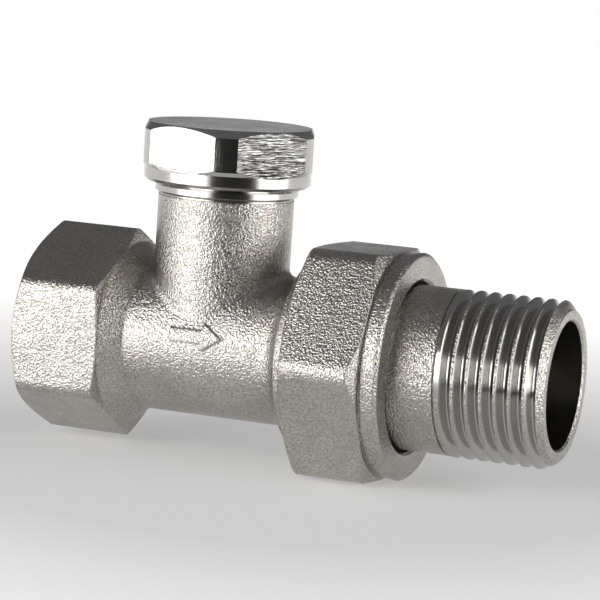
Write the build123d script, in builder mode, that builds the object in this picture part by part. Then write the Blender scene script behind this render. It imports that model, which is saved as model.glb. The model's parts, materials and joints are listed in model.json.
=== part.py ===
"""Straight lockshield valve for a radiator: female inlet, union nut and tailpiece at the outlet.

Frame: millimetres, origin at the centre of the inlet end face, +X along the pipe towards the
tailpiece, +Z up the neck.  The valve is drawn shut, with the cap and the union done up.
"""
from build123d import *
from math import cos, radians, sin
import os

os.makedirs("parts", exist_ok=True)

# ---------------------------------------------------------------- driving dimensions
RUNNING = 0.05                      # clearance of a running fit
LOOSE = 0.1                         # clearance around seals and the clip
STACK_GAP = 0.02                    # gap between pieces that press on each other
EDGE_BREAK = 0.4                    # chamfer of a turned edge
SMALL_BREAK = 0.3                   # chamfer of a small turned edge
THREAD_CHAMFER = 0.6                # chamfer at the ends of a fine thread
OVERLAP = 0.05                      # overlap between two solids that are joined
REACH = 1.0                         # how far a cut or an edge search runs past a surface
HALF_INCH_R = 20.955 / 2            # G 1/2 thread, outer radius
HALF_INCH_CORE_R = 18.631 / 2       # G 1/2 thread, core radius
UNION_R = 26.441 / 2                # G 3/4 thread, outer radius

INLET_AF = 24.0                     # inlet hexagon across flats
INLET_LENGTH = 12.0
INLET_CORNER_FILLET = 1.8
INLET_THREAD = 11.0                 # depth of the inlet's thread

BARREL_R = 9.5
FORGED_EDGE = 0.4                   # rounding of a forging's outer edges
NECK_X = 23.6                       # neck axis along the pipe
NECK_R = 8.68
NECK_TOP = 19.0
BODY_END = 45.1                     # body's end face inside the union nut

SEAT_Z = 1.2                        # top of the seat lip
SEAT_HOLE_R = 4.0
CHAMBER_R = 6.2
BONNET_THREAD_R = 7.5               # bonnet thread M15
BONNET_STEP = 8.2                   # step in the neck under the bonnet's seal
BONNET_FOOT = 9.0
BONNET_TOP = 25.4
CAP_THREAD_R = 8.0                  # cap thread M16

OUTLET_BORE_R = 9.4
NUT_AF = 28.5
NUT_START = 37.6
NUT_END = 50.5
NUT_COLLAR_R = 14.34
NUT_HOLE_R = 10.84
NUT_STEP = 47.5                     # inner face that holds the tailpiece's collar

TAIL_NOSE = 41.0
TAIL_END = 70.05
TAIL_R = 10.40
TAIL_THREAD_START = 57.3
TAIL_BORE_R = 7.98

CAP_R = 10.9
CAP_BOTTOM = 20.66
CAP_TOP = 28.14
CAP_CEILING = 26.4
CAP_FLATS = 5
CAP_FLAT_DISTANCE = 9.59            # neck axis to each flat
CAP_FLAT_TURN = -33.2               # direction of one flat from +X

SPINDLE_THREAD_R = 5.95             # spindle thread M12
JOURNAL_R = 4.4
SPINDLE_TOP = 22.2
SOCKET_AF = 5.0
FOOT_R = 2.5

RING_R = 0.48                       # o-ring section radius
RING_GROOVE = 1.3                   # o-ring groove width
RING_DEPTH = 0.95                   # o-ring groove depth

UPRIGHT = Plane.XZ.shift_origin((NECK_X, 0, 0))     # radius and height about the neck axis
NECK_AXIS = Axis((NECK_X, 0, 0), (0, 0, 1))


def pipe_profile(*points):
    """Face with corners (position along the pipe, radius)."""
    with BuildSketch(Plane.XZ) as profile:
        with BuildLine():
            Polyline(*points, close=True)
        make_face()
    return profile.sketch


def neck_profile(*points):
    """Face with corners (radius, height) about the neck axis."""
    with BuildSketch(UPRIGHT) as profile:
        with BuildLine():
            Polyline(*points, close=True)
        make_face()
    return profile.sketch


def finish(part, label):
    """Name a finished piece and write it."""
    part.label = label
    export_step(part, "parts/" + label + ".step")
    print(label, "volume", round(part.volume, 1))


# ---------------------------------------------------------------- body
HEX_FACE_R = 11.87          # turned face at the pipe end of the inlet hexagon
HEX_CONE_LENGTH = 1.2
HEX_OUTSIDE_R = 14.0        # beyond the hexagon's corners
HEX_BACK_X = 11.4           # start of the cone at its other end
HEX_BACK_R = 12.0
SHOULDER_R = 11.95
SHOULDER_END = 14.4         # foot of the cone behind the inlet hexagon
FLARE_START = 33.1
FLARE_END = 36.1
FLARE_R = 11.9
FLARE_LEAN = 0.5            # slope of the flare where it meets the thread's end
NECK_BLEND = 1.2
UNION_THREAD_START = 37.5
UNION_CHAMFER = 1.1
POCKET_R = 7.2              # pocket behind the inlet thread
POCKET_START = 12.6
POCKET_END = 15.2
POCKET_CONE_R = 5.6
POCKET_CONE_END = 16.8
OUTLET_POCKET_R = 7.4       # pocket in front of the tailpiece's nose
OUTLET_POCKET_START = 38.4
OUTLET_POCKET_END = 39.6
OUTLET_BORE_START = 40.6
CHANNEL_R = 3.7
INLET_CHANNEL_START = 15.0
INLET_CHANNEL_END = NECK_X + 3.0
OUTLET_CHANNEL_END = 39.0
SEAT_HOLE_DEPTH = 1.5       # seat hole below the lower channel's centre
INLET_CHANNEL_Z = -4.3
OUTLET_CHANNEL_Z = 4.5
FLOOR_Z = 0.6               # floor of the valve chamber
SEAT_LIP_R = 5.0

with BuildPart() as body:
    # inlet hexagon with a corner up, both of its ends turned to a cone
    with BuildSketch(Plane.YZ):
        RegularPolygon(INLET_AF / 3 ** 0.5, 6, rotation=30)
    extrude(amount=INLET_LENGTH)
    fillet(body.edges().filter_by(Axis.X), INLET_CORNER_FILLET)
    revolve(
        pipe_profile(
            (0, 0),
            (0, HEX_FACE_R),
            (HEX_CONE_LENGTH, HEX_OUTSIDE_R),
            (HEX_BACK_X, HEX_OUTSIDE_R),
            (INLET_LENGTH, HEX_BACK_R),
            (INLET_LENGTH, 0),
        ),
        axis=Axis.X,
        mode=Mode.INTERSECT,
    )
    # shoulder, barrel, flare and the male union thread
    with BuildSketch(Plane.XZ):
        with BuildLine():
            Polyline(
                (FLARE_START, BARREL_R),
                (SHOULDER_END, BARREL_R),
                (INLET_LENGTH - OVERLAP, SHOULDER_R),
                (INLET_LENGTH - OVERLAP, 0),
                (BODY_END, 0),
                (BODY_END, UNION_R - UNION_CHAMFER),
                (BODY_END - UNION_CHAMFER, UNION_R),
                (UNION_THREAD_START + UNION_CHAMFER, UNION_R),
                (UNION_THREAD_START, FLARE_R),
                (FLARE_END, FLARE_R),
            )
            Spline(
                (FLARE_END, FLARE_R),
                (FLARE_START, BARREL_R),
                tangents=((-FLARE_LEAN, -1), (-1, 0)),
            )
        make_face()
    revolve(axis=Axis.X)
    # neck, blended into the barrel
    with BuildSketch(Plane.XY):
        with Locations((NECK_X, 0)):
            Circle(NECK_R)
    extrude(amount=NECK_TOP)
    neck_seam = body.edges().filter_by(GeomType.BSPLINE).filter_by_position(
        Axis.X, NECK_X - NECK_R - REACH, NECK_X + NECK_R + REACH)
    fillet(neck_seam, NECK_BLEND)
    # inlet thread bore, then the pocket before the lower channel
    revolve(
        pipe_profile(
            (0, 0),
            (0, HALF_INCH_CORE_R),
            (INLET_THREAD, HALF_INCH_CORE_R),
            (POCKET_START, POCKET_R),
            (POCKET_END, POCKET_R),
            (POCKET_CONE_END, POCKET_CONE_R),
            (POCKET_CONE_END, 0),
        ),
        axis=Axis.X,
        mode=Mode.SUBTRACT,
    )
    # bore for the tailpiece's nose
    revolve(
        pipe_profile(
            (OUTLET_POCKET_START, 0),
            (OUTLET_POCKET_START, OUTLET_POCKET_R),
            (OUTLET_POCKET_END, OUTLET_POCKET_R),
            (OUTLET_BORE_START, OUTLET_BORE_R),
            (BODY_END - EDGE_BREAK, OUTLET_BORE_R),
            (BODY_END, OUTLET_BORE_R + EDGE_BREAK),
            (BODY_END, 0),
        ),
        axis=Axis.X,
        mode=Mode.SUBTRACT,
    )
    # lower channel from the inlet, upper channel to the outlet
    with BuildSketch(Plane.YZ.offset(INLET_CHANNEL_START)):
        with Locations((0, INLET_CHANNEL_Z)):
            Circle(CHANNEL_R)
    extrude(amount=INLET_CHANNEL_END - INLET_CHANNEL_START, mode=Mode.SUBTRACT)
    with BuildSketch(Plane.YZ.offset(NECK_X)):
        with Locations((0, OUTLET_CHANNEL_Z)):
            Circle(CHANNEL_R)
    extrude(amount=OUTLET_CHANNEL_END - NECK_X, mode=Mode.SUBTRACT)
    # seat hole, raised seat lip, chamber and bonnet thread
    revolve(
        neck_profile(
            (0, INLET_CHANNEL_Z - SEAT_HOLE_DEPTH),
            (SEAT_HOLE_R, INLET_CHANNEL_Z - SEAT_HOLE_DEPTH),
            (SEAT_HOLE_R, SEAT_Z),
            (SEAT_LIP_R - SMALL_BREAK, SEAT_Z),
            (SEAT_LIP_R, FLOOR_Z),
            (CHAMBER_R, FLOOR_Z),
            (CHAMBER_R, BONNET_STEP),
            (BONNET_THREAD_R, BONNET_STEP),
            (BONNET_THREAD_R, NECK_TOP - SMALL_BREAK),
            (BONNET_THREAD_R + SMALL_BREAK, NECK_TOP),
            (0, NECK_TOP),
        ),
        axis=NECK_AXIS,
        mode=Mode.SUBTRACT,
    )
finish(body.part, "body")

# ---------------------------------------------------------------- bonnet
BONNET_CHAMFER = 0.5        # at the bonnet's foot
BONNET_LAND_R = NECK_R - 0.1
BONNET_LAND_TOP = 19.15     # narrow land under the collar
BONNET_COLLAR_R = 9.15
BONNET_COLLAR_FOOT = 19.5
BONNET_COLLAR_TOP = 20.2
SPINDLE_SHOULDER = 18.1     # inner shoulder that stops the spindle at full lift
SPANNER_SLOT = 2.4
SPANNER_SLOT_DEPTH = 1.0

with BuildPart() as bonnet:
    revolve(
        neck_profile(
            (SPINDLE_THREAD_R + RUNNING, BONNET_FOOT),
            (BONNET_THREAD_R - BONNET_CHAMFER - RUNNING, BONNET_FOOT),
            (BONNET_THREAD_R - RUNNING, BONNET_FOOT + BONNET_CHAMFER),
            (BONNET_THREAD_R - RUNNING, NECK_TOP),
            (BONNET_LAND_R, NECK_TOP),
            (BONNET_LAND_R, BONNET_LAND_TOP),
            (BONNET_COLLAR_R, BONNET_COLLAR_FOOT),
            (BONNET_COLLAR_R, BONNET_COLLAR_TOP),
            (CAP_THREAD_R - THREAD_CHAMFER, BONNET_COLLAR_TOP),
            (CAP_THREAD_R - THREAD_CHAMFER, BONNET_COLLAR_TOP + EDGE_BREAK),
            (CAP_THREAD_R, BONNET_COLLAR_TOP + EDGE_BREAK + THREAD_CHAMFER),
            (CAP_THREAD_R, BONNET_TOP - THREAD_CHAMFER),
            (CAP_THREAD_R - THREAD_CHAMFER, BONNET_TOP),
            (JOURNAL_R + RUNNING + EDGE_BREAK, BONNET_TOP),
            (JOURNAL_R + RUNNING, BONNET_TOP - EDGE_BREAK),
            (JOURNAL_R + RUNNING, SPINDLE_SHOULDER),
            (SPINDLE_THREAD_R + RUNNING, SPINDLE_SHOULDER),
        ),
        axis=NECK_AXIS,
    )
    # two slots across the top for a pin spanner
    with BuildSketch(Plane.XY.offset(BONNET_TOP)):
        with Locations((NECK_X, 0)):
            Rectangle(SPANNER_SLOT, 4 * CAP_THREAD_R)
    extrude(amount=-SPANNER_SLOT_DEPTH, mode=Mode.SUBTRACT)
finish(bonnet.part, "bonnet")

with BuildPart() as bonnet_seal:
    with BuildSketch(Plane.XY.offset(BONNET_STEP + STACK_GAP)):
        with Locations((NECK_X, 0)):
            Circle(BONNET_THREAD_R - LOOSE)
            Circle(CHAMBER_R + LOOSE, mode=Mode.SUBTRACT)
    extrude(amount=BONNET_FOOT - BONNET_STEP - 2 * STACK_GAP)
finish(bonnet_seal.part, "bonnet_seal")

# ---------------------------------------------------------------- spindle and its rings
FOOT_Z = 4.5
HEAD_Z = 9.0                # threaded head, from here
HEAD_TOP = 14.5             # to here
GLIDE_THICK = 0.5
GLIDE_R = 5.6
CLIP_Z = 6.0
CLIP_GROOVE = 0.7
CLIP_GROOVE_R = 2.0
RING_HEIGHTS = (16.9, 19.9)
SOCKET_DEPTH = 4.2


def ring_groove(height):
    """Profile of an o-ring groove in the spindle's journal."""
    low = height - RING_GROOVE / 2
    high = height + RING_GROOVE / 2
    inner = JOURNAL_R - RING_DEPTH
    outer = JOURNAL_R + REACH
    return neck_profile((inner, low), (outer, low), (outer, high), (inner, high))


with BuildPart() as spindle:
    revolve(
        neck_profile(
            (0, FOOT_Z),
            (FOOT_R - SMALL_BREAK, FOOT_Z),
            (FOOT_R, FOOT_Z + SMALL_BREAK),
            (FOOT_R, CLIP_Z - CLIP_GROOVE / 2),
            (CLIP_GROOVE_R, CLIP_Z - CLIP_GROOVE / 2),
            (CLIP_GROOVE_R, CLIP_Z + CLIP_GROOVE / 2),
            (FOOT_R, CLIP_Z + CLIP_GROOVE / 2),
            (FOOT_R, HEAD_Z),
            (SPINDLE_THREAD_R - THREAD_CHAMFER, HEAD_Z),
            (SPINDLE_THREAD_R, HEAD_Z + THREAD_CHAMFER),
            (SPINDLE_THREAD_R, HEAD_TOP - THREAD_CHAMFER),
            (SPINDLE_THREAD_R - THREAD_CHAMFER, HEAD_TOP),
            (JOURNAL_R, HEAD_TOP),
            (JOURNAL_R, SPINDLE_TOP - EDGE_BREAK),
            (JOURNAL_R - EDGE_BREAK, SPINDLE_TOP),
            (0, SPINDLE_TOP),
        ),
        axis=NECK_AXIS,
    )
    for height in RING_HEIGHTS:
        revolve(ring_groove(height), axis=NECK_AXIS, mode=Mode.SUBTRACT)
    with BuildSketch(Plane.XY.offset(SPINDLE_TOP)):
        with Locations((NECK_X, 0)):
            RegularPolygon(SOCKET_AF / 3 ** 0.5, 6)
    extrude(amount=-SOCKET_DEPTH, mode=Mode.SUBTRACT)
finish(spindle.part, "spindle")

for name, height in zip(("spindle_o_ring_lower", "spindle_o_ring_upper"), RING_HEIGHTS):
    with BuildPart() as spindle_ring:
        with BuildSketch(UPRIGHT):
            with Locations((JOURNAL_R + RUNNING - RING_DEPTH / 2 - RUNNING / 2, height)):
                Circle(RING_R)
        revolve(axis=NECK_AXIS)
    finish(spindle_ring.part, name)

with BuildPart() as glide_ring:
    with BuildSketch(Plane.XY.offset(HEAD_TOP + STACK_GAP)):
        with Locations((NECK_X, 0)):
            Circle(GLIDE_R)
            Circle(JOURNAL_R + RUNNING, mode=Mode.SUBTRACT)
    extrude(amount=GLIDE_THICK - 2 * STACK_GAP)
finish(glide_ring.part, "glide_ring")

# ---------------------------------------------------------------- plug with its seal
PLUG_R = 5.6
PLUG_LIP = 0.6              # how far its rim stays above the seal's face
PLUG_CONE_Z = 4.3           # the rim's top, where its back starts to taper
HUB_R = 4.3
HUB_FOOT = 5.0
HUB_TOP = 8.3
SEAL_THICK = 1.8
SEAL_BOTTOM = SEAT_Z + RUNNING
SEAL_R = 5.1
SCREW_R = 1.5
WASHER_R = 3.2
WASHER_THICK = 0.5
CLIP_R = 3.3
CLIP_THICK = 0.6
CLIP_GAP = 1.2              # opening of the clip

with BuildPart() as plug:
    revolve(
        neck_profile(
            (SCREW_R + STACK_GAP, SEAL_BOTTOM + SEAL_THICK),
            (SEAL_R + RUNNING, SEAL_BOTTOM + SEAL_THICK),
            (SEAL_R + RUNNING, SEAL_BOTTOM + PLUG_LIP),
            (PLUG_R, SEAL_BOTTOM + PLUG_LIP),
            (PLUG_R, PLUG_CONE_Z),
            (HUB_R, HUB_FOOT),
            (HUB_R, HUB_TOP),
            (FOOT_R + RUNNING, HUB_TOP),
            (FOOT_R + RUNNING, CLIP_Z + CLIP_GROOVE / 2),
            (CLIP_R + LOOSE, CLIP_Z + CLIP_GROOVE / 2),
            (CLIP_R + LOOSE, CLIP_Z - CLIP_GROOVE / 2),
            (FOOT_R + RUNNING, CLIP_Z - CLIP_GROOVE / 2),
            (FOOT_R + RUNNING, FOOT_Z - RUNNING),
            (SCREW_R + STACK_GAP, FOOT_Z - RUNNING),
        ),
        axis=NECK_AXIS,
    )
finish(plug.part, "plug")

with BuildPart() as plug_clip:
    with BuildSketch(Plane.XY.offset(CLIP_Z - CLIP_THICK / 2)):
        with Locations((NECK_X, 0)):
            Circle(CLIP_R)
            Circle(CLIP_GROOVE_R + RUNNING, mode=Mode.SUBTRACT)
        with Locations((NECK_X + CLIP_R, 0)):
            Rectangle(2 * CLIP_R, CLIP_GAP, mode=Mode.SUBTRACT)
    extrude(amount=CLIP_THICK)
finish(plug_clip.part, "plug_clip")

with BuildPart() as plug_seal:
    with BuildSketch(Plane.XY.offset(SEAL_BOTTOM)):
        with Locations((NECK_X, 0)):
            Circle(SEAL_R)
            Circle(SCREW_R + RUNNING, mode=Mode.SUBTRACT)
    extrude(amount=SEAL_THICK - STACK_GAP)
finish(plug_seal.part, "plug_seal")

with BuildPart() as plug_washer:
    with BuildSketch(Plane.XY.offset(SEAL_BOTTOM - STACK_GAP)):
        with Locations((NECK_X, 0)):
            Circle(WASHER_R)
            Circle(SCREW_R + RUNNING, mode=Mode.SUBTRACT)
    extrude(amount=-WASHER_THICK)
finish(plug_washer.part, "plug_washer")

SCREW_HEAD_Z = SEAL_BOTTOM - 2 * STACK_GAP - WASHER_THICK
SCREW_HEAD_R = 2.7
SCREW_HEAD_HEIGHT = 1.5
SCREW_TIP_Z = 4.15
SCREW_SLOT = 0.7            # width and depth of its slot

with BuildPart() as plug_screw:
    revolve(
        neck_profile(
            (0, SCREW_HEAD_Z - SCREW_HEAD_HEIGHT),
            (SCREW_HEAD_R - EDGE_BREAK, SCREW_HEAD_Z - SCREW_HEAD_HEIGHT),
            (SCREW_HEAD_R, SCREW_HEAD_Z - SCREW_HEAD_HEIGHT + EDGE_BREAK),
            (SCREW_HEAD_R, SCREW_HEAD_Z),
            (SCREW_R, SCREW_HEAD_Z),
            (SCREW_R, SCREW_TIP_Z),
            (0, SCREW_TIP_Z),
        ),
        axis=NECK_AXIS,
    )
    with BuildSketch(Plane.XY.offset(SCREW_HEAD_Z - SCREW_HEAD_HEIGHT)):
        with Locations((NECK_X, 0)):
            Rectangle(2 * SCREW_HEAD_R + REACH, SCREW_SLOT)
    extrude(amount=SCREW_SLOT, mode=Mode.SUBTRACT)
finish(plug_screw.part, "plug_screw")

# ---------------------------------------------------------------- cap
CAP_FLANGE_R = 10.65
CAP_FLANGE_TOP = 22.4
CAP_DRUM_BOTTOM = 22.9
CAP_RIM_R = 10.45           # edge of the top disc, above a steep chamfer
CAP_RIM_FOOT = 27.15        # foot of that chamfer
FLAT_TOP = 28.0             # top of a flat in its middle
FLAT_BOTTOM = 22.2          # bottom of a flat in its middle
FLAT_REACH = 6.0            # half width of the milling cut
FLAT_DROP = 1.1             # fall of its curved ends over that half width
CAP_BORE_CHAMFER = 0.5
GASKET_GAP = 0.03
GASKET_HOLE_R = 5.0

with BuildPart() as cap:
    revolve(
        neck_profile(
            (0, CAP_BOTTOM),
            (CAP_FLANGE_R - EDGE_BREAK, CAP_BOTTOM),
            (CAP_FLANGE_R, CAP_BOTTOM + EDGE_BREAK),
            (CAP_FLANGE_R, CAP_FLANGE_TOP),
            (CAP_R, CAP_DRUM_BOTTOM),
            (CAP_R, CAP_RIM_FOOT),
            (CAP_RIM_R, CAP_TOP),
            (0, CAP_TOP),
        ),
        axis=NECK_AXIS,
    )
    # milled flats, their upper and lower ends curved
    for number in range(CAP_FLATS):
        turn = radians(CAP_FLAT_TURN + number * 360 / CAP_FLATS)
        outward = Vector(cos(turn), sin(turn), 0)
        across = Vector(-sin(turn), cos(turn), 0)
        face_centre = Vector(NECK_X, 0, 0) + outward * CAP_FLAT_DISTANCE
        with BuildSketch(Plane(origin=face_centre, x_dir=across, z_dir=outward)):
            with BuildLine():
                ThreePointArc(
                    (-FLAT_REACH, FLAT_TOP - FLAT_DROP),
                    (0, FLAT_TOP),
                    (FLAT_REACH, FLAT_TOP - FLAT_DROP),
                )
                Line((FLAT_REACH, FLAT_TOP - FLAT_DROP), (FLAT_REACH, FLAT_BOTTOM + FLAT_DROP))
                ThreePointArc(
                    (FLAT_REACH, FLAT_BOTTOM + FLAT_DROP),
                    (0, FLAT_BOTTOM),
                    (-FLAT_REACH, FLAT_BOTTOM + FLAT_DROP),
                )
                Line((-FLAT_REACH, FLAT_BOTTOM + FLAT_DROP), (-FLAT_REACH, FLAT_TOP - FLAT_DROP))
            make_face()
        extrude(amount=CAP_R, mode=Mode.SUBTRACT)
    # thread bore
    revolve(
        neck_profile(
            (0, CAP_BOTTOM),
            (CAP_THREAD_R + RUNNING + CAP_BORE_CHAMFER, CAP_BOTTOM),
            (CAP_THREAD_R + RUNNING, CAP_BOTTOM + CAP_BORE_CHAMFER),
            (CAP_THREAD_R + RUNNING, CAP_CEILING),
            (0, CAP_CEILING),
        ),
        axis=NECK_AXIS,
        mode=Mode.SUBTRACT,
    )
finish(cap.part, "cap")

with BuildPart() as cap_gasket:
    with BuildSketch(Plane.XY.offset(BONNET_TOP + GASKET_GAP)):
        with Locations((NECK_X, 0)):
            Circle(CAP_THREAD_R - LOOSE)
            Circle(GASKET_HOLE_R, mode=Mode.SUBTRACT)
    extrude(amount=CAP_CEILING - BONNET_TOP - 2 * GASKET_GAP)
finish(cap_gasket.part, "cap_gasket")

# ---------------------------------------------------------------- union nut
NUT_FACE_R = 13.9           # left end face, to here
NUT_CORNER_X = 38.5         # full corners from here
NUT_HEX_END = 46.9          # to here
NUT_VALLEY_X = 48.25        # the end cone meets the collar
NUT_VALLEY_R = 14.15
NUT_CORNER_R = 16.4
NUT_CORNER_FILLET = 2.6
NUT_TURN = -1.5             # hexagon's turn about the pipe, in degrees

with BuildPart() as union_nut:
    with BuildSketch(Plane.YZ.offset(NUT_START)):
        RegularPolygon(NUT_AF / 3 ** 0.5, 6, rotation=NUT_TURN)
    extrude(amount=NUT_VALLEY_X - NUT_START)
    fillet(union_nut.edges().filter_by(Axis.X), NUT_CORNER_FILLET)
    revolve(
        pipe_profile(
            (NUT_START, 0),
            (NUT_START, NUT_FACE_R),
            (NUT_CORNER_X, NUT_CORNER_R),
            (NUT_HEX_END, NUT_CORNER_R),
            (NUT_VALLEY_X, NUT_VALLEY_R),
            (NUT_VALLEY_X, 0),
        ),
        axis=Axis.X,
        mode=Mode.INTERSECT,
    )
    near_end = union_nut.edges().filter_by_position(
        Axis.X, NUT_START - SMALL_BREAK, NUT_CORNER_X + SMALL_BREAK)
    fillet(near_end, FORGED_EDGE)
    revolve(
        pipe_profile(
            (NUT_VALLEY_X - OVERLAP, 0),
            (NUT_VALLEY_X - OVERLAP, NUT_VALLEY_R),
            (NUT_END - EDGE_BREAK, NUT_COLLAR_R),
            (NUT_END, NUT_COLLAR_R - EDGE_BREAK),
            (NUT_END, 0),
        ),
        axis=Axis.X,
    )
    revolve(
        pipe_profile(
            (NUT_START, 0),
            (NUT_START, UNION_R + RUNNING + EDGE_BREAK),
            (NUT_START + EDGE_BREAK, UNION_R + RUNNING),
            (NUT_STEP, UNION_R + RUNNING),
            (NUT_STEP, NUT_HOLE_R),
            (NUT_END - SMALL_BREAK, NUT_HOLE_R),
            (NUT_END, NUT_HOLE_R + SMALL_BREAK),
            (NUT_END, 0),
        ),
        axis=Axis.X,
        mode=Mode.SUBTRACT,
    )
finish(union_nut.part, "union_nut")

# ---------------------------------------------------------------- tailpiece
TAIL_COLLAR_R = 12.8
TAIL_COLLAR_START = BODY_END + RUNNING
TAIL_COLLAR_CHAMFER = 0.35
RUN_OUT_START = 56.1        # groove where the half inch thread runs out
RUN_OUT_R = 9.5
TAIL_END_CHAMFER = 1.1
TAIL_BORE_CHAMFER = 0.25
TAIL_BORE_START = 49.5
NOSE_BORE_R = 6.6
NOSE_BORE_END = 48.0
NOSE_BORE_CHAMFER = 0.5
NOSE_LEAD = 0.8             # lead-in chamfer that takes the o-ring into its bore
NOSE_RING_X = 43.1
NOSE_R = OUTLET_BORE_R - RUNNING
KEY_LUG_LENGTH = 6.0
KEY_LUG = 1.6               # lug height and half width
KEY_LUG_ROOT = 0.2          # how deep its root sinks into the wall

with BuildPart() as tailpiece:
    revolve(
        pipe_profile(
            (TAIL_NOSE, NOSE_BORE_R + NOSE_BORE_CHAMFER),
            (TAIL_NOSE, NOSE_R - NOSE_LEAD),
            (TAIL_NOSE + NOSE_LEAD, NOSE_R),
            (NOSE_RING_X - RING_GROOVE / 2, NOSE_R),
            (NOSE_RING_X - RING_GROOVE / 2, NOSE_R - RING_DEPTH),
            (NOSE_RING_X + RING_GROOVE / 2, NOSE_R - RING_DEPTH),
            (NOSE_RING_X + RING_GROOVE / 2, NOSE_R),
            (TAIL_COLLAR_START, NOSE_R),
            (TAIL_COLLAR_START, TAIL_COLLAR_R),
            (NUT_STEP - RUNNING - TAIL_COLLAR_CHAMFER, TAIL_COLLAR_R),
            (NUT_STEP - RUNNING, TAIL_COLLAR_R - TAIL_COLLAR_CHAMFER),
            (NUT_STEP - RUNNING, TAIL_R),
            (RUN_OUT_START, TAIL_R),
            (RUN_OUT_START + SMALL_BREAK, TAIL_R - SMALL_BREAK),
            (RUN_OUT_START + EDGE_BREAK, RUN_OUT_R),
            (TAIL_THREAD_START - THREAD_CHAMFER, RUN_OUT_R),
            (TAIL_THREAD_START, HALF_INCH_R),
            (TAIL_END - TAIL_END_CHAMFER, HALF_INCH_R),
            (TAIL_END, HALF_INCH_R - TAIL_END_CHAMFER),
            (TAIL_END, TAIL_BORE_R + TAIL_BORE_CHAMFER),
            (TAIL_END - TAIL_BORE_CHAMFER, TAIL_BORE_R),
            (TAIL_BORE_START, TAIL_BORE_R),
            (NOSE_BORE_END, NOSE_BORE_R),
            (TAIL_NOSE + NOSE_BORE_CHAMFER, NOSE_BORE_R),
        ),
        axis=Axis.X,
    )
    # two lugs in the bore for the fitting key
    with BuildSketch(Plane.YZ.offset(TAIL_NOSE + NOSE_BORE_CHAMFER)):
        for centre in (-NOSE_BORE_R, NOSE_BORE_R):
            with Locations((0, centre)):
                Rectangle(2 * KEY_LUG, 2 * KEY_LUG)
        Circle(NOSE_BORE_R + KEY_LUG_ROOT, mode=Mode.INTERSECT)
    extrude(amount=KEY_LUG_LENGTH)
finish(tailpiece.part, "tailpiece")

with BuildPart() as tail_o_ring:
    with BuildSketch(Plane.XZ):
        with Locations((NOSE_RING_X, OUTLET_BORE_R - RING_DEPTH / 2 - RUNNING / 2)):
            Circle(RING_R)
    revolve(axis=Axis.X)
finish(tail_o_ring.part, "tail_o_ring")
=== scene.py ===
"""Straight lockshield valve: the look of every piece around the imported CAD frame.

Metres, +X along the pipe, +Z up the neck, as in the frame.
"""
import json
import math

import bmesh
import bpy
from mathutils import Matrix, Quaternion, Vector


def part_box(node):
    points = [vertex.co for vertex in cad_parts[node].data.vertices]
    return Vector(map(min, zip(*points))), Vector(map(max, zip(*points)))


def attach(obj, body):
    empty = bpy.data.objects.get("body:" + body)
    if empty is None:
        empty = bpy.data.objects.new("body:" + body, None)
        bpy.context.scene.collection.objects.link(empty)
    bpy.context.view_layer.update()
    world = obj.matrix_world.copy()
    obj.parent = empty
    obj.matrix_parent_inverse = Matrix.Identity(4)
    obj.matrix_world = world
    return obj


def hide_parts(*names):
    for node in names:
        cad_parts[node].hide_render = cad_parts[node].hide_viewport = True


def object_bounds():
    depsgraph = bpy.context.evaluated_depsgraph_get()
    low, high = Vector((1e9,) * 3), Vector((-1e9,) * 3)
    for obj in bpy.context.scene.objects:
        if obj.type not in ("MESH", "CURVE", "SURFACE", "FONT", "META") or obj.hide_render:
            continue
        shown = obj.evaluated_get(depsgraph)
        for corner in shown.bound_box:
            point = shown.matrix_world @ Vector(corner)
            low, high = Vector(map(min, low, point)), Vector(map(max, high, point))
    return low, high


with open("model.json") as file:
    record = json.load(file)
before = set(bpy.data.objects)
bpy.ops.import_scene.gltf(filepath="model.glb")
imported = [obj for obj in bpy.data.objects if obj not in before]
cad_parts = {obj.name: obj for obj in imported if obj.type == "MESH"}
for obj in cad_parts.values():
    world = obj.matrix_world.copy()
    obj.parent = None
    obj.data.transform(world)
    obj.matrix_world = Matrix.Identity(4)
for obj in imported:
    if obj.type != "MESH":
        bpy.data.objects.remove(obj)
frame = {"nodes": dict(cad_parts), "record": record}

cad_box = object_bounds()
MM = 0.001

# ---------------------------------------------------------------- sizes read from the frame
mounts = {m["name"]: m for m in frame["record"]["mounts"]}
NECK_X = sum(c.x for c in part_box("spindle")) / 2
TAIL_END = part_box("tailpiece")[1].x
CAP_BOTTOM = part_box("cap")[0].z
NUT_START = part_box("union_nut")[0].x
HALF_INCH_R = mounts["tail_thread"]["dims"]["r_mm"] * MM
HALF_INCH_CORE_R = mounts["inlet_thread"]["dims"]["r_mm"] * MM
TAIL_BORE_R = mounts["tail_bore"]["dims"]["r_mm"] * MM

SAME_POINT = 1e-7               # points nearer than this are merged
FADE_DEPTH = 1.3                # a fading thread slides out by this many thread depths
PIPE_FADE, CAP_FADE = 0.5, 0.4          # and it fades over this many turns
FLANK_ANGLE = math.radians(27.5)        # flank of a pipe thread
ROOT_PART = 12                  # half of a groove's flat root is this part of the pitch
ROUNDING = 0.06                 # root and crest are rounded over this share of the depth
EDGE_BREAK = 0.02               # a crest's edge is broken by this share of the pitch
STAND_OFF = 0.25                # a cutter stands off the surface by this share of the depth

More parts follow.
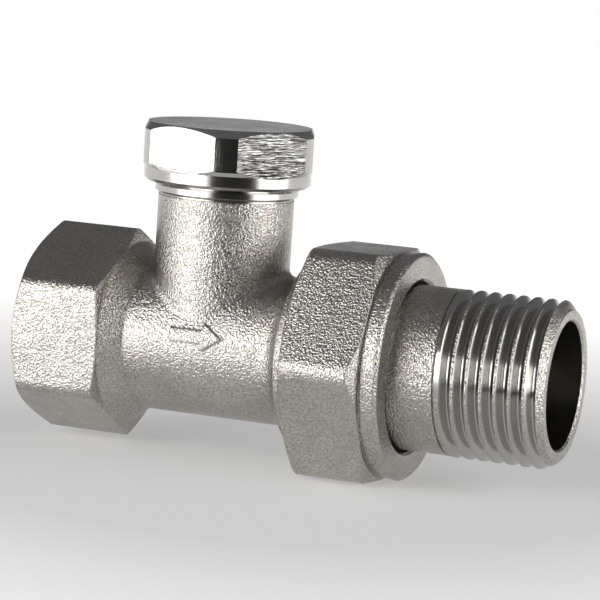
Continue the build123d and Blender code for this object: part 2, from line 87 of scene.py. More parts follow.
PIPE_PITCH = 1.814 * MM         # half inch and three quarter inch pipe threads
PIPE_DEPTH = 1.162 * MM
UNION_R = 13.2205 * MM
CAP_PITCH = 1.0 * MM
CAP_DEPTH = 0.61 * MM
CAP_THREAD_R = 8.0 * MM
CAP_DRUM_R = 10.9 * MM
CAP_FLANGE_Z = 22.95 * MM       # top of the cap's flange
CAP_FLAT = 9.59 * MM            # from the neck axis to each flat of the cap
CAP_CORNER_X = NECK_X + 3.9 * MM        # the corner between its two front flats
NUT_STEP = 47.5 * MM            # the nut's inner face
UNION_GROOVE_X = 39.2 * MM      # where the body's union thread begins
TAIL_CREST_X = 58.2 * MM        # a crest of the tail's thread, at the top of its turn
BARREL_R = 9.5 * MM
TUBE_R = 10.40 * MM             # tailpiece's plain tube
RUN_OUT_X = 56.1 * MM           # the plain tube ends and the thread's blank begins


# ---------------------------------------------------------------- mesh helpers
def new_object(name, vertices, faces):
    mesh = bpy.data.meshes.new(name)
    mesh.from_pydata([tuple(v) for v in vertices], [], faces)
    mesh.validate()
    obj = bpy.data.objects.new(name, mesh)
    bpy.context.scene.collection.objects.link(obj)
    return obj


def pipe_point(along, radius, angle):
    """Point about the pipe axis; angle 0 is +Y and a quarter turn is +Z."""
    return (along, radius * math.cos(angle), radius * math.sin(angle))


def neck_point(along, radius, angle):
    """Point about the neck axis; along is the height."""
    return (NECK_X + radius * math.cos(angle), radius * math.sin(angle), along)


def lathe(name, profile, place, segments=192):
    """Closed profile of (along, radius) turned about an axis; a radius of 0 makes a pole."""
    vertices, faces, rings = [], [], []
    for along, radius in profile:
        if radius == 0:
            rings.append([len(vertices)] * segments)
            vertices.append(place(along, 0, 0))
        else:
            rings.append([len(vertices) + i for i in range(segments)])
            vertices += [place(along, radius, 2 * math.pi * i / segments) for i in range(segments)]
    for a, b in zip(rings, rings[1:] + rings[:1]):
        for i in range(segments):
            j = (i + 1) % segments
            face = list(dict.fromkeys((a[i], b[i], b[j], a[j])))
            if len(face) > 2:
                faces.append(face)
    obj = new_object(name, vertices, faces)
    outward(obj)
    return obj


def helix(name, section, place, pitch, start, turns,
          phase=0.0, steps=64, fade=(0.0, 0.0), sink=0.0):
    """Closed section of (along, radius) swept along a right-handed helix and capped.

    fade gives the turns over which the section slides by sink at each end."""
    count = round(turns * steps)
    vertices, faces = [], []
    for i in range(count + 1):
        turn = i / steps
        angle = phase + 2 * math.pi * turn
        slide = 0.0
        if fade[0] and turn < fade[0]:
            slide = sink * (1 - turn / fade[0]) ** 2
        if fade[1] and turns - turn < fade[1]:
            slide = sink * (1 - (turns - turn) / fade[1]) ** 2
        for along, radius in section:
            vertices.append(place(start + along + pitch * turn, radius + slide, angle))
    n = len(section)
    for i in range(count):
        for k in range(n):
            j = (k + 1) % n
            faces.append((i * n + k, i * n + j, (i + 1) * n + j, (i + 1) * n + k))
    faces.append(tuple(range(n)))
    faces.append(tuple(count * n + k for k in range(n)))
    obj = new_object(name, vertices, faces)
    outward(obj)
    return obj


def outward(obj):
    """Merge doubled points and turn every face outwards."""
    work = bmesh.new()
    work.from_mesh(obj.data)
    bmesh.ops.remove_doubles(work, verts=work.verts, dist=SAME_POINT)
    bmesh.ops.recalc_face_normals(work, faces=work.faces)
    work.to_mesh(obj.data)
    work.free()


def solid_copy(node, name):
    """A new piece with the shape of a CAD node."""
    mesh = frame["nodes"][node].data.copy()
    mesh.name = name
    mesh.materials.clear()
    obj = bpy.data.objects.new(name, mesh)
    bpy.context.scene.collection.objects.link(obj)
    outward(obj)
    return obj


def combine(obj, other, operation="DIFFERENCE"):
    """Boolean of obj with other, which is used up."""
    step = obj.modifiers.new("step", "BOOLEAN")
    step.operation = operation
    step.solver = "MANIFOLD"
    step.object = other
    settle(obj)
    bpy.data.objects.remove(other)
    return obj


def settle(obj):
    """Replace the mesh by the one that its modifiers give."""
    bpy.context.view_layer.update()
    graph = bpy.context.evaluated_depsgraph_get()
    made = bpy.data.meshes.new_from_object(obj.evaluated_get(graph))
    obj.modifiers.clear()
    old = obj.data
    obj.data = made
    bpy.data.meshes.remove(old)


def smooth(obj, angle=20):
    mesh = obj.data
    if "custom_normal" in mesh.attributes:
        mesh.attributes.remove(mesh.attributes["custom_normal"])
    mesh.shade_smooth()
    mesh.set_sharp_from_angle(angle=math.radians(angle))


def groove(radius, depth, pitch, side):
    """Section of a thread's groove: side 1 cuts into a shaft, -1 into a bore."""
    root = pitch / ROOT_PART
    wide = root + depth * math.tan(FLANK_ANGLE)
    over = STAND_OFF * depth
    crest_edge = pitch * EDGE_BREAK
    bottom = radius - side * depth
    low = radius - side * depth * (1 - ROUNDING)
    high = radius - side * depth * ROUNDING
    right = [
        (root * 0.5, bottom),
        (root, low),
        (wide - crest_edge, high),
        (wide + crest_edge, radius),
        (wide + crest_edge + over, radius + side * over),
    ]
    left = [(-along, height) for along, height in reversed(right)]
    return [left[-1]] + right + left[:-1]


# ---------------------------------------------------------------- node materials
def start_material(name):
    material = bpy.data.materials.new(name)
    material.use_nodes = True
    nodes = material.node_tree.nodes
    nodes.clear()
    out = nodes.new("ShaderNodeOutputMaterial")
    shader = nodes.new("ShaderNodeBsdfPrincipled")
    material.node_tree.links.new(shader.outputs["BSDF"], out.inputs["Surface"])
    where = nodes.new("ShaderNodeTexCoord")
    return material, nodes, material.node_tree.links, shader, where.outputs["Object"]


def noise(nodes, links, place, size, detail=2.0, roughness=0.5):
    node = nodes.new("ShaderNodeTexNoise")
    node.inputs["Scale"].default_value = 1 / size
    node.inputs["Detail"].default_value = detail
    node.inputs["Roughness"].default_value = roughness
    links.new(place, node.inputs["Vector"])
    return node.outputs["Fac"]


def scaled(nodes, links, place, stretch):
    node = nodes.new("ShaderNodeMapping")
    node.inputs["Scale"].default_value = stretch
    links.new(place, node.inputs["Vector"])
    return node.outputs["Vector"]


def remap(nodes, links, value, low, high, to_low, to_high):
    node = nodes.new("ShaderNodeMapRange")
    node.inputs["From Min"].default_value = low
    node.inputs["From Max"].default_value = high
    node.inputs["To Min"].default_value = to_low
    node.inputs["To Max"].default_value = to_high
    links.new(value, node.inputs["Value"])
    return node.outputs["Result"]


def mix_colour(nodes, links, value, dark, light):
    node = nodes.new("ShaderNodeMix")
    node.data_type = "RGBA"
    node.inputs["A"].default_value = (*dark, 1)
    node.inputs["B"].default_value = (*light, 1)
    links.new(value, node.inputs["Factor"])
    return node.outputs["Result"]


def bump(nodes, links, height, distance, strength=1.0, under=None):
    node = nodes.new("ShaderNodeBump")
    node.inputs["Distance"].default_value = distance
    node.inputs["Strength"].default_value = strength
    links.new(height, node.inputs["Height"])
    if under is not None:
        links.new(under, node.inputs["Normal"])
    return node.outputs["Normal"]


PATCH_LOW, PATCH_HIGH = 0.3, 0.7        # range of a patchy noise that is spread over 0 to 1
FORGED_PATCH, TURNED_PATCH, BARE_PATCH, DULL_PATCH = 6 * MM, 8 * MM, 2.5 * MM, 1.5 * MM

NICKEL = (0.54, 0.52, 0.485)
NICKEL_DULL = (0.45, 0.43, 0.40)
POLISHED = (0.51, 0.50, 0.48)
POLISHED_DULL = (0.43, 0.42, 0.40)


def round_axis(nodes, links, place, along_pipe):
    """Coordinates (distance along the axis, distance from it, 0) about the pipe or the neck."""
    split = nodes.new("ShaderNodeSeparateXYZ")
    links.new(place, split.inputs["Vector"])
    flat = nodes.new("ShaderNodeCombineXYZ")
    join = nodes.new("ShaderNodeCombineXYZ")
    length = nodes.new("ShaderNodeVectorMath")
    length.operation = "LENGTH"
    if along_pipe:
        links.new(split.outputs["Y"], flat.inputs["X"])
        links.new(split.outputs["Z"], flat.inputs["Y"])
        links.new(split.outputs["X"], join.inputs["X"])
    else:
        middle = nodes.new("ShaderNodeMath")
        middle.operation = "SUBTRACT"
        middle.inputs[1].default_value = NECK_X
        links.new(split.outputs["X"], middle.inputs[0])
        links.new(middle.outputs["Value"], flat.inputs["X"])
        links.new(split.outputs["Y"], flat.inputs["Y"])
        links.new(split.outputs["Z"], join.inputs["X"])
    links.new(flat.outputs["Vector"], length.inputs[0])
    links.new(length.outputs["Value"], join.inputs["Y"])
    return join.outputs["Vector"]


def metal_base(nodes, links, shader, place, rough_low, rough_high, patch, dull, bright):
    """Metal whose colour and gloss vary softly in patches."""
    shader.inputs["Metallic"].default_value = 1.0
    patches = noise(nodes, links, place, patch, 3)
    fade = remap(nodes, links, patches, PATCH_LOW, PATCH_HIGH, 0, 1)
    links.new(mix_colour(nodes, links, fade, dull, bright), shader.inputs["Base Color"])
    gloss = remap(nodes, links, patches, PATCH_LOW, PATCH_HIGH, rough_high, rough_low)
    links.new(gloss, shader.inputs["Roughness"])


GRAIN, GRAIN_DEPTH = 0.27 * MM, 0.17 * MM
HAMMERED, HAMMERED_DEPTH = 1.1 * MM, 0.05 * MM          # broad unevenness under the grain
PIT_LOW, PIT_HIGH = 0.34, 0.62          # range of the grain over which painted shade in the pits turns to a painted highlight on the peaks
# colour factors for the painted shade in the grain's pits and the painted highlight on its peaks
PAINTED_PIT_SHADE, PAINTED_PEAK_HIGHLIGHT = (0.74, 0.73, 0.71), (1.08, 1.08, 1.08)
WORN_GRAIN = 0.12               # what is left of the grain's depth on an edge
EDGE_COSINE, FACE_COSINE = 0.93, 0.995  # rounded against true normal, on an edge and off it


def forged_nickel(name, edge):
    """Nickel plate over a sandblasted forging: a fine, sharp grain, worn smooth along edges, with
    painted shade in its pits and a painted highlight on its peaks.
    """
    material, nodes, links, shader, place = start_material(name)
    metal_base(nodes, links, shader, place, 0.22, 0.30, FORGED_PATCH, NICKEL_DULL, NICKEL)
    fine = noise(nodes, links, place, GRAIN, 1.5, 0.6)
    # the grain's pits get painted shade and its peaks a painted highlight, multiplied into the
    # colour
    pit_shade_and_peak_highlight = nodes.new("ShaderNodeMix")
    pit_shade_and_peak_highlight.data_type = "RGBA"
    pit_shade_and_peak_highlight.blend_type = "MULTIPLY"
    pit_shade_and_peak_highlight.inputs["Factor"].default_value = 1.0
    links.new(shader.inputs["Base Color"].links[0].from_socket, pit_shade_and_peak_highlight.inputs["A"])
    spread = remap(nodes, links, fine, PIT_LOW, PIT_HIGH, 0, 1)
    links.new(mix_colour(nodes, links, spread, PAINTED_PIT_SHADE, PAINTED_PEAK_HIGHLIGHT), pit_shade_and_peak_highlight.inputs["B"])
    links.new(pit_shade_and_peak_highlight.outputs["Result"], shader.inputs["Base Color"])
    soft = nodes.new("ShaderNodeBevel")
    soft.samples = 4
    soft.inputs["Radius"].default_value = edge
    broad = noise(nodes, links, place, HAMMERED, 1.0)
    lower = bump(nodes, links, broad, HAMMERED_DEPTH, 0.6, soft.outputs["Normal"])
    true_normal = nodes.new("ShaderNodeNewGeometry")
    flatness = nodes.new("ShaderNodeVectorMath")
    flatness.operation = "DOT_PRODUCT"
    links.new(soft.outputs["Normal"], flatness.inputs[0])
    links.new(true_normal.outputs["Normal"], flatness.inputs[1])
    worn = remap(nodes, links, flatness.outputs["Value"], EDGE_COSINE, FACE_COSINE, WORN_GRAIN, 1)
    links.new(bump(nodes, links, fine, GRAIN_DEPTH, 1.0, lower), shader.inputs["Normal"])
    links.new(worn, shader.inputs["Normal"].links[0].from_node.inputs["Strength"])
    return material


TURNED_WAVE, TURNED_WAVE_DEPTH = 2.2 * MM, 0.04 * MM
LINED_WAVE, LINED_WAVE_DEPTH = 3 * MM, 0.05 * MM
CORNER_HALF = 0.4 * MM          # the milling's depth changes over this to each side


def turned_nickel(name, along_pipe, roughness=0.14, line=0.10 * MM, depth=0.006 * MM):
    """Nickel plate over a turned surface: fine rings about the pipe or the neck."""
    material, nodes, links, shader, place = start_material(name)
    metal_base(nodes, links, shader, place,
               roughness, roughness + 0.08, TURNED_PATCH, POLISHED_DULL, POLISHED)
    rings = noise(nodes, links, round_axis(nodes, links, place, along_pipe), line, 3.0, 0.6)
    wave = noise(nodes, links, place, TURNED_WAVE, 1.0)
    lower = bump(nodes, links, wave, TURNED_WAVE_DEPTH, 0.5)
    links.new(bump(nodes, links, rings, depth, 1.0, lower), shader.inputs["Normal"])
    return material


def lined_nickel(name, stretch, line, depth, roughness, depth_right=None):
    """Nickel plate over straight tool marks; stretch draws them out along the cut.

    depth_right is the depth past the cap's front corner, where it differs."""
    material, nodes, links, shader, place = start_material(name)
    metal_base(nodes, links, shader, place,
               roughness, roughness + 0.06, TURNED_PATCH, POLISHED_DULL, POLISHED)
    lines = noise(nodes, links, scaled(nodes, links, place, stretch), line, 3.0, 0.65)
    wave = noise(nodes, links, place, LINED_WAVE, 1.0)
    lower = bump(nodes, links, wave, LINED_WAVE_DEPTH, 0.5)
    links.new(bump(nodes, links, lines, depth, 1.0, lower), shader.inputs["Normal"])
    if depth_right is not None:
        split = nodes.new("ShaderNodeSeparateXYZ")
        links.new(place, split.inputs["Vector"])
        side = remap(nodes, links, split.outputs["X"],
                     CAP_CORNER_X - CORNER_HALF, CAP_CORNER_X + CORNER_HALF, depth, depth_right)
        links.new(side, shader.inputs["Normal"].links[0].from_node.inputs["Distance"])
    return material


def plain_metal(name, dark, light, roughness, grain):
    """Bare metal with a fine grain."""
    material, nodes, links, shader, place = start_material(name)
    metal_base(nodes, links, shader, place, roughness, roughness + 0.1, BARE_PATCH, dark, light)
    fine = noise(nodes, links, place, grain, 2.0)
    links.new(bump(nodes, links, fine, grain * 0.1, 0.6), shader.inputs["Normal"])
    return material


def plain_solid(name, dark, light, roughness, grain):
    """Rubber, plastic or fibre with a fine grain."""
    material, nodes, links, shader, place = start_material(name)
    patches = noise(nodes, links, place, DULL_PATCH, 4)
    fade = remap(nodes, links, patches, PATCH_LOW, PATCH_HIGH, 0, 1)
    links.new(mix_colour(nodes, links, fade, dark, light), shader.inputs["Base Color"])
    gloss = remap(nodes, links, patches, PATCH_LOW, PATCH_HIGH, roughness - 0.1, roughness + 0.1)
    links.new(gloss, shader.inputs["Roughness"])
    fine = noise(nodes, links, place, grain, 2.0)
    links.new(bump(nodes, links, fine, grain * 0.2, 0.7), shader.inputs["Normal"])
    return material


FORGED = forged_nickel("forged_nickel", 0.4 * MM)
FORGED_TAIL = forged_nickel("forged_nickel_tail", 0.06 * MM)
TURNED_PIPE = turned_nickel("turned_nickel_pipe", True)
TURNED_NECK = turned_nickel("turned_nickel_neck", False)
MILLED = lined_nickel("milled_nickel", (0.025, 0.025, 1.0),
                      0.38 * MM, 0.14 * MM, 0.16, depth_right=0.62 * MM)
DRAWN = lined_nickel("drawn_nickel", (1.0, 1.0, 0.03), 0.16 * MM, 0.02 * MM, 0.14)
BRASS = plain_metal("turned_brass", (0.62, 0.44, 0.20), (0.80, 0.62, 0.30), 0.22, 0.3 * MM)
STEEL = plain_metal("spring_steel", (0.30, 0.30, 0.31), (0.48, 0.48, 0.49), 0.28, 0.3 * MM)
RUBBER = plain_solid("black_rubber", (0.012, 0.012, 0.012), (0.03, 0.03, 0.032), 0.55, 0.15 * MM)
PLASTIC = plain_solid("white_plastic", (0.72, 0.72, 0.69), (0.84, 0.84, 0.81), 0.40, 0.4 * MM)
FIBRE = plain_solid("red_fibre", (0.26, 0.06, 0.04), (0.42, 0.12, 0.09), 0.80, 0.12 * MM)


def dress(obj, slot, material, *others):
    """Give a piece its materials; others are (material, test of a face's centre and normal)."""
    obj.data.materials.clear()
    obj.data.materials.append(material)
    for number, (other, belongs) in enumerate(others, 1):
        obj.data.materials.append(other)
        for face in obj.data.polygons:
            if belongs(face.center, face.normal):
                face.material_index = number


INWARD_COSINE = -0.1            # a face whose normal is nearer the axis looks inwards


def inward(centre, normal):
    """True on a face that looks at the pipe axis."""
    return centre.y * normal.y + centre.z * normal.z < INWARD_COSINE * off_pipe(centre)


def off_pipe(point):
    return math.hypot(point.y, point.z)


def off_neck(point):
    return math.hypot(point.x - NECK_X, point.y)


# ---------------------------------------------------------------- body
body = solid_copy("body", "forged_body")
MOUTH_START, MOUTH_END = -0.2 * MM, 1.3 * MM
MOUTH_R = 10.83 * MM
INLET_START, INLET_TURNS = -1.5 * PIPE_PITCH, 7.3
UNION_TURNS = 4.2
UNION_PHASE = 1.0               # where round the pipe the union's thread starts
mouth = [
    (MOUTH_START, 0),
    (MOUTH_START, MOUTH_R),
    (MOUTH_END, HALF_INCH_CORE_R - 0.02 * MM),
    (MOUTH_END, 0),
]
combine(body, lathe("mouth", mouth, pipe_point))
combine(body, helix("inlet_groove", groove(HALF_INCH_CORE_R, PIPE_DEPTH, PIPE_PITCH, -1),
                    pipe_point, PIPE_PITCH, INLET_START, INLET_TURNS,
                    fade=(0, PIPE_FADE), sink=-PIPE_DEPTH * FADE_DEPTH))
combine(body, helix("union_groove", groove(UNION_R, PIPE_DEPTH, PIPE_PITCH, 1),
                    pipe_point, PIPE_PITCH, UNION_GROOVE_X, UNION_TURNS,
                    phase=UNION_PHASE, fade=(PIPE_FADE, 0), sink=PIPE_DEPTH * FADE_DEPTH))

ARROW_LENGTH, ARROW_HEIGHT, ARROW_PROUD = 7.0 * MM, 3.6 * MM, 0.35 * MM
ARROW_X, ARROW_Z = NECK_X + 0.8 * MM, 2.0 * MM      # its middle
ARROW_OUTSIDE, ARROW_INSIDE = -BARREL_R - 2 * MM, -BARREL_R + 1.2 * MM
ARROW_ROUNDING = 0.3 * MM
SKIN_START, SKIN_END = 14 * MM, 34 * MM


def flow_arrow():
    """Raised arrow on the barrel's front, pointing along the flow."""
    left, shaft = -ARROW_LENGTH / 2, ARROW_HEIGHT * 0.22
    head, tip, wing = ARROW_LENGTH * 0.12, ARROW_LENGTH / 2, ARROW_HEIGHT / 2
    outline = [
        (left, -shaft),
        (head, -shaft),
        (head, -wing),
        (tip, 0),
        (head, wing),
        (head, shaft),
        (left, shaft),
    ]
    vertices = []
    for y in (ARROW_OUTSIDE, ARROW_INSIDE):
        vertices += [(ARROW_X + x, y, ARROW_Z + z) for x, z in outline]
    n = len(outline)
    faces = [tuple(range(n)), tuple(range(n, 2 * n))]
    faces += [(i, (i + 1) % n, n + (i + 1) % n, n + i) for i in range(n)]
    arrow = new_object("flow_arrow", vertices, faces)
    outward(arrow)
    rounded = arrow.modifiers.new("corners", "BEVEL")
    rounded.width = ARROW_ROUNDING
    rounded.segments = 4
    settle(arrow)
    proud = BARREL_R + ARROW_PROUD
    skin = [(SKIN_START, 0), (SKIN_START, proud), (SKIN_END, proud), (SKIN_END, 0)]
    return combine(arrow, lathe("arrow_skin", skin, pipe_point), "INTERSECT")


combine(body, flow_arrow(), "UNION")
smooth(body)


def on_bore_or_thread(centre, normal):
    """True on the body's bores and on its union thread."""
    return inward(centre, normal) or centre.x > NUT_START


dress(body, "plated_forging", FORGED, (TURNED_PIPE, on_bore_or_thread))
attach(body, "housing")
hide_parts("body")

# ---------------------------------------------------------------- bonnet
bonnet = solid_copy("bonnet", "bonnet_threaded")
BONNET_GROOVE_Z = 21.2 * MM
BONNET_TURNS, BONNET_PHASE = 5.0, 0.5
combine(bonnet, helix("cap_groove", groove(CAP_THREAD_R, CAP_DEPTH, CAP_PITCH, 1),
                      neck_point, CAP_PITCH, BONNET_GROOVE_Z, BONNET_TURNS,
                      phase=BONNET_PHASE, fade=(CAP_FADE, 0), sink=CAP_DEPTH * FADE_DEPTH))
smooth(bonnet)
dress(bonnet, "plated_machined", TURNED_NECK)
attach(bonnet, "housing")
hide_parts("bonnet")

# ---------------------------------------------------------------- cap
cap = solid_copy("cap", "cap_threaded")
CAP_BORE_R = CAP_THREAD_R + 0.05 * MM
CAP_GROOVE_Z, CAP_TURNS = CAP_BOTTOM - 1.2 * MM, 6.0
DRUM_INSIDE_R = CAP_DRUM_R * 0.985
DRUM_LEAN, FLAT_LEAN = 0.2, 0.05        # how far a normal may lean up or down
FLAT_ERROR = 0.03 * MM
combine(cap, helix("cap_inner_groove", groove(CAP_BORE_R, CAP_DEPTH, CAP_PITCH, -1),
                   neck_point, CAP_PITCH, CAP_GROOVE_Z, CAP_TURNS,
                   fade=(0, CAP_FADE), sink=-CAP_DEPTH * FADE_DEPTH))
smooth(cap)


def on_drum(centre, normal):
    """True on the cap's round side, between its flats."""
    upright = abs(normal.z) < DRUM_LEAN
    return upright and off_neck(centre) > DRUM_INSIDE_R and centre.z > CAP_FLANGE_Z


def on_flat(centre, normal):
    """True on the cap's milled flats."""
    reach = (centre.x - NECK_X) * normal.x + centre.y * normal.y
    return abs(normal.z) < FLAT_LEAN and abs(reach - CAP_FLAT) < FLAT_ERROR


dress(cap, "plated_machined", TURNED_NECK, (DRAWN, on_drum), (MILLED, on_flat))
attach(cap, "cap")
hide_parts("cap")

# ---------------------------------------------------------------- union nut
nut = solid_copy("union_nut", "nut_threaded")
RIDGE_TURNS = 2.4
RIDGE_OFFSET = 0.55             # where the ridge starts, in turns of the body's groove
RIDGE_FADE, RIDGE_SINK = 0.3, 0.5 * MM
RIDGE_NARROWING, RIDGE_LIFT = 0.95, 0.06 * MM   # its clearance in the body's groove
VALLEY_X = 48.2 * MM            # the line between the hexagon and the collar
VALLEY_FLOOR_R, VALLEY_EDGE_R, VALLEY_OUTSIDE_R = 13.92 * MM, 14.1 * MM, 15 * MM
VALLEY_HALF = 0.15 * MM
union_section = groove(UNION_R, PIPE_DEPTH, PIPE_PITCH, 1)
ridge = [(RIDGE_NARROWING * along, radius + RIDGE_LIFT) for along, radius in union_section]
combine(nut, helix("nut_ridge", ridge,
                   pipe_point, PIPE_PITCH, UNION_GROOVE_X + RIDGE_OFFSET * PIPE_PITCH, RIDGE_TURNS,
                   phase=UNION_PHASE + 2 * math.pi * RIDGE_OFFSET,
                   fade=(RIDGE_FADE, RIDGE_FADE), sink=RIDGE_SINK),
        "UNION")
valley = [
    (VALLEY_X - VALLEY_HALF, VALLEY_OUTSIDE_R),
    (VALLEY_X - VALLEY_HALF, VALLEY_EDGE_R),
    (VALLEY_X, VALLEY_FLOOR_R),
    (VALLEY_X + VALLEY_HALF, VALLEY_EDGE_R),
    (VALLEY_X + VALLEY_HALF, VALLEY_OUTSIDE_R),
]
combine(nut, lathe("valley_line", valley, pipe_point))
smooth(nut)
dress(nut, "plated_forging", FORGED, (TURNED_PIPE, inward))
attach(nut, "union_nut")
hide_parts("union_nut")

# ---------------------------------------------------------------- tailpiece
tail = solid_copy("tailpiece", "tail_threaded")
LAND_START, LAND_END = RUN_OUT_X - 0.1 * MM, RUN_OUT_X + 1.25 * MM
LAND_INSIDE_R = TUBE_R - 1.4 * MM
TAIL_TURNS, TAIL_PHASE = 8.1, 1.5 * math.pi
MARK_X, MARK_TURNS, MARK_PHASE = 55.55 * MM, 0.64, math.radians(30)     # tool's mark by the run-out
MARK_FADE, MARK_SINK = 0.05, 0.4 * MM
MARK_HALF, MARK_FLOOR_HALF = 0.17 * MM, 0.05 * MM
MARK_OUTSIDE_R, MARK_FLOOR_R = TUBE_R + 0.06 * MM, TUBE_R - 0.28 * MM
END_FACE_X = TAIL_END - 1.15 * MM
TUBE_DEPTH, CREST_DEPTH = 0.4 * MM, 0.04 * MM   # a face within this depth is part of the surface
land = [
    (LAND_START, LAND_INSIDE_R),
    (LAND_START, TUBE_R - 0.01 * MM),
    (LAND_END, HALF_INCH_R),
    (LAND_END, LAND_INSIDE_R),
]
combine(tail, lathe("run_out_land", land, pipe_point), "UNION")
combine(tail, helix("tail_groove", groove(HALF_INCH_R, PIPE_DEPTH, PIPE_PITCH, 1),
                    pipe_point, PIPE_PITCH, TAIL_CREST_X - PIPE_PITCH, TAIL_TURNS,
                    phase=TAIL_PHASE, fade=(PIPE_FADE, 0), sink=PIPE_DEPTH * FADE_DEPTH))
mark = [
    (-MARK_HALF, MARK_OUTSIDE_R),
    (MARK_HALF, MARK_OUTSIDE_R),
    (MARK_FLOOR_HALF, MARK_FLOOR_R),
    (-MARK_FLOOR_HALF, MARK_FLOOR_R),
]
combine(tail, helix("tool_mark", mark, pipe_point, PIPE_PITCH, MARK_X, MARK_TURNS,
                    phase=MARK_PHASE, fade=(MARK_FADE, MARK_FADE), sink=MARK_SINK))
smooth(tail)


def on_tube(centre, normal):
    """True on the tailpiece's plain tube."""
    return off_pipe(centre) > TUBE_R - TUBE_DEPTH and NUT_STEP < centre.x < RUN_OUT_X + 0.3 * MM


def on_crest(centre, normal):
    """True on the crests of the tail's thread."""
    return off_pipe(centre) > HALF_INCH_R - CREST_DEPTH and centre.x > RUN_OUT_X


def on_end_face(centre, normal):
    """True on the tail's end face and its chamfers."""
    return normal.x > 0.5 and centre.x > END_FACE_X and off_pipe(centre) > TAIL_BORE_R


dress(tail, "plated_machined", TURNED_PIPE,
      (FORGED_TAIL, on_tube), (FORGED_TAIL, on_crest), (FORGED_TAIL, on_end_face))
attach(tail, "tailpiece")
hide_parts("tailpiece")

# ---------------------------------------------------------------- CAD nodes shown as they are
for node, material in (
    ("bonnet_seal", FIBRE),
    ("spindle", BRASS),
    ("spindle_o_ring_lower", RUBBER),
    ("spindle_o_ring_upper", RUBBER),
    ("glide_ring", PLASTIC),
    ("plug", BRASS),
    ("plug_clip", STEEL),
    ("plug_seal", RUBBER),
    ("plug_washer", BRASS),
    ("plug_screw", BRASS),
    ("cap_gasket", FIBRE),
    ("tail_o_ring", RUBBER),
):
    shown = frame["nodes"][node]
    shown.data.materials.clear()
    shown.data.materials.append(material)

# ---------------------------------------------------------------- floor, light and camera
FLOOR_Z = cad_box[0].z - 0.05 * MM
FLOOR_HALF = 6
FLOOR_COLOUR = (0.55, 0.55, 0.55, 1)
PAINTED_SHADOW_GLOW, GLOW_FAR = 0.32, 0.90        # the floor's painted glow near the valve, dimmed as a painted shadow under it, and far from it
GLOW_START, GLOW_FULL = 0.045, 0.16     # distances between which it grows
VALVE_MIDDLE_X = 0.035
ROOM = 0.16                     # the world above the horizon
HORIZON = 0.92                  # and its pale band along the horizon
BAND_START, BAND_END = 0.02, 0.10       # where the band fades, as a height over distance


def painted_glow_floor():
    """Matt floor with a painted glow that grows with the distance from the valve, so it is darker
    near the valve as a painted shadow under it.
    """
    corners = [(-FLOOR_HALF, -FLOOR_HALF, FLOOR_Z), (FLOOR_HALF, -FLOOR_HALF, FLOOR_Z),
               (FLOOR_HALF, FLOOR_HALF, FLOOR_Z), (-FLOOR_HALF, FLOOR_HALF, FLOOR_Z)]
    floor = new_object("floor", corners, [(0, 1, 2, 3)])
    material, nodes, links, shader, place = start_material("painted_glow_floor")
    shader.inputs["Base Color"].default_value = FLOOR_COLOUR
    shader.inputs["Roughness"].default_value = 1.0
    shader.inputs["Emission Color"].default_value = (1, 1, 1, 1)
    away = nodes.new("ShaderNodeVectorMath")
    away.operation = "DISTANCE"
    away.inputs[1].default_value = (VALVE_MIDDLE_X, 0, FLOOR_Z)
    links.new(place, away.inputs[0])
    # painted glow, dimmer near the valve as a painted shadow under it
    glow = remap(nodes, links, away.outputs["Value"], GLOW_START, GLOW_FULL, PAINTED_SHADOW_GLOW, GLOW_FAR)
    links.new(glow, shader.inputs["Emission Strength"])
    floor.data.materials.append(material)


painted_glow_floor()


def studio_world():
    """Dim room above, with a pale band along the horizon."""
    world = bpy.data.worlds.new("studio")
    bpy.context.scene.world = world
    world.use_nodes = True
    nodes, links = world.node_tree.nodes, world.node_tree.links
    where = nodes.new("ShaderNodeTexCoord")
    split = nodes.new("ShaderNodeSeparateXYZ")
    links.new(where.outputs["Generated"], split.inputs["Vector"])
    band = remap(nodes, links, split.outputs["Z"], BAND_START, BAND_END, 1, 0)
    room, horizon = (ROOM, ROOM, ROOM * 1.05), (HORIZON, HORIZON, HORIZON)
    colour = mix_colour(nodes, links, band, room, horizon)
    links.new(colour, nodes["Background"].inputs["Color"])
    nodes["Background"].inputs["Strength"].default_value = 1.0


studio_world()

AZIMUTH, ELEVATION, ROLL = 21.065, 7.945, 3.667         # the camera's, in degrees
DISTANCE = 349.736 * MM
SENSOR = 36                     # mm
FRAME_WIDTHS = 2758.95 / 600    # focal length over the frame's width
TARGET = Vector((34.53 * MM, 0, 6.744 * MM))


def direction(azimuth, elevation):
    """Unit vector; azimuth 0 looks from -Y and grows towards +X."""
    a, e = math.radians(azimuth), math.radians(elevation)
    return Vector((math.sin(a) * math.cos(e), -math.cos(a) * math.cos(e), math.sin(e)))


LIFT_OFF_FLOOR = 0.5 * MM       # of a flat light and of the dark card for the painted reflection


def softbox(name, azimuth, distance, width, height, radiance, upright=True):
    """Area light that the camera does not see; its azimuth is counted from the camera's.

    Upright it faces the valve. Flat it faces down, and brightens the floor under it."""
    light = bpy.data.lights.new(name, "AREA")
    light.shape = "RECTANGLE"
    light.size = width
    light.size_y = height
    light.energy = radiance * math.pi * width * height
    obj = bpy.data.objects.new(name, light)
    bpy.context.scene.collection.objects.link(obj)
    back = direction(AZIMUTH + azimuth, 0)
    above_floor = height / 2 if upright else LIFT_OFF_FLOOR
    obj.location = Vector((TARGET.x, TARGET.y, FLOOR_Z + above_floor)) + back * distance
    obj.rotation_mode = "QUATERNION"
    if upright:
        obj.rotation_quaternion = back.to_track_quat("Z", "Y")
    else:
        obj.rotation_quaternion = Quaternion((0, 0, 1), math.radians(AZIMUTH + azimuth))
    obj.visible_camera = False


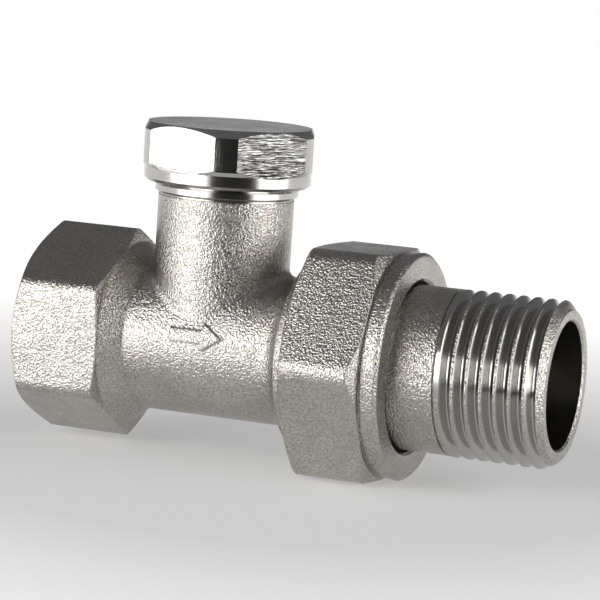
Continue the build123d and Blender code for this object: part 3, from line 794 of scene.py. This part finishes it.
softbox("left_box", -54, 0.30, 0.26, 0.19, 4.6)
softbox("left_floor_box", -74, 0.20, 0.06, 0.16, 6.0, upright=False)
softbox("right_box", 68, 0.30, 0.25, 0.19, 4.0)


FLAG_AZIMUTH = 7                # from the camera's
FLAG_RAILS = [(0.065, 0.040, 0), (0.16, 0.10, 0), (0.16, 0.10, 0.07)]
# colour of the painted dark reflection
PAINTED_REFLECTION_COLOUR = (0.03, 0.03, 0.03, 1)


def painted_reflection_card():
    """Dark card in front of the valve that only reflections see, painting a dark reflection on the
    metal.

    It lies on the floor, then stands up; a rail is (distance, half width, height)."""
    toward = direction(AZIMUTH + FLAG_AZIMUTH, 0)
    across = Vector((0, 0, 1)).cross(toward)
    start = Vector((TARGET.x, TARGET.y, FLOOR_Z + LIFT_OFF_FLOOR))
    vertices = []
    for distance, half_width, height in FLAG_RAILS:
        middle = start + toward * distance + Vector((0, 0, height))
        vertices += [middle - across * half_width, middle + across * half_width]
    reflection_card = new_object("reflection_card", vertices, [(0, 1, 3, 2), (2, 3, 5, 4)])
    material, nodes, links, shader, place = start_material("painted_reflection_card")
    shader.inputs["Base Color"].default_value = PAINTED_REFLECTION_COLOUR
    shader.inputs["Specular IOR Level"].default_value = 0
    reflection_card.data.materials.append(material)
    # seen only in reflections: it paints a dark reflection and casts no shadow
    reflection_card.visible_camera = False
    reflection_card.visible_shadow = False
    reflection_card.visible_diffuse = False


painted_reflection_card()


def place_camera():
    """Camera at its azimuth and elevation about the target, rolled about its own axis."""
    camera = bpy.data.objects.new("camera", bpy.data.cameras.new("camera"))
    bpy.context.scene.collection.objects.link(camera)
    bpy.context.scene.camera = camera
    camera.data.sensor_width = SENSOR
    camera.data.lens = FRAME_WIDTHS * SENSOR
    camera.data.clip_start = 0.01
    camera.data.clip_end = 50
    back = direction(AZIMUTH, ELEVATION)
    level = (-back).cross(Vector((0, 0, 1))).normalized()
    above = level.cross(-back)
    roll = math.radians(ROLL)
    right = level * math.cos(roll) + above * math.sin(roll)
    up = above * math.cos(roll) - level * math.sin(roll)
    turn = Matrix((right, up, back)).transposed().to_4x4()
    camera.matrix_world = Matrix.Translation(TARGET + back * DISTANCE) @ turn


place_camera()

bpy.context.scene.view_settings.view_transform = "Standard"
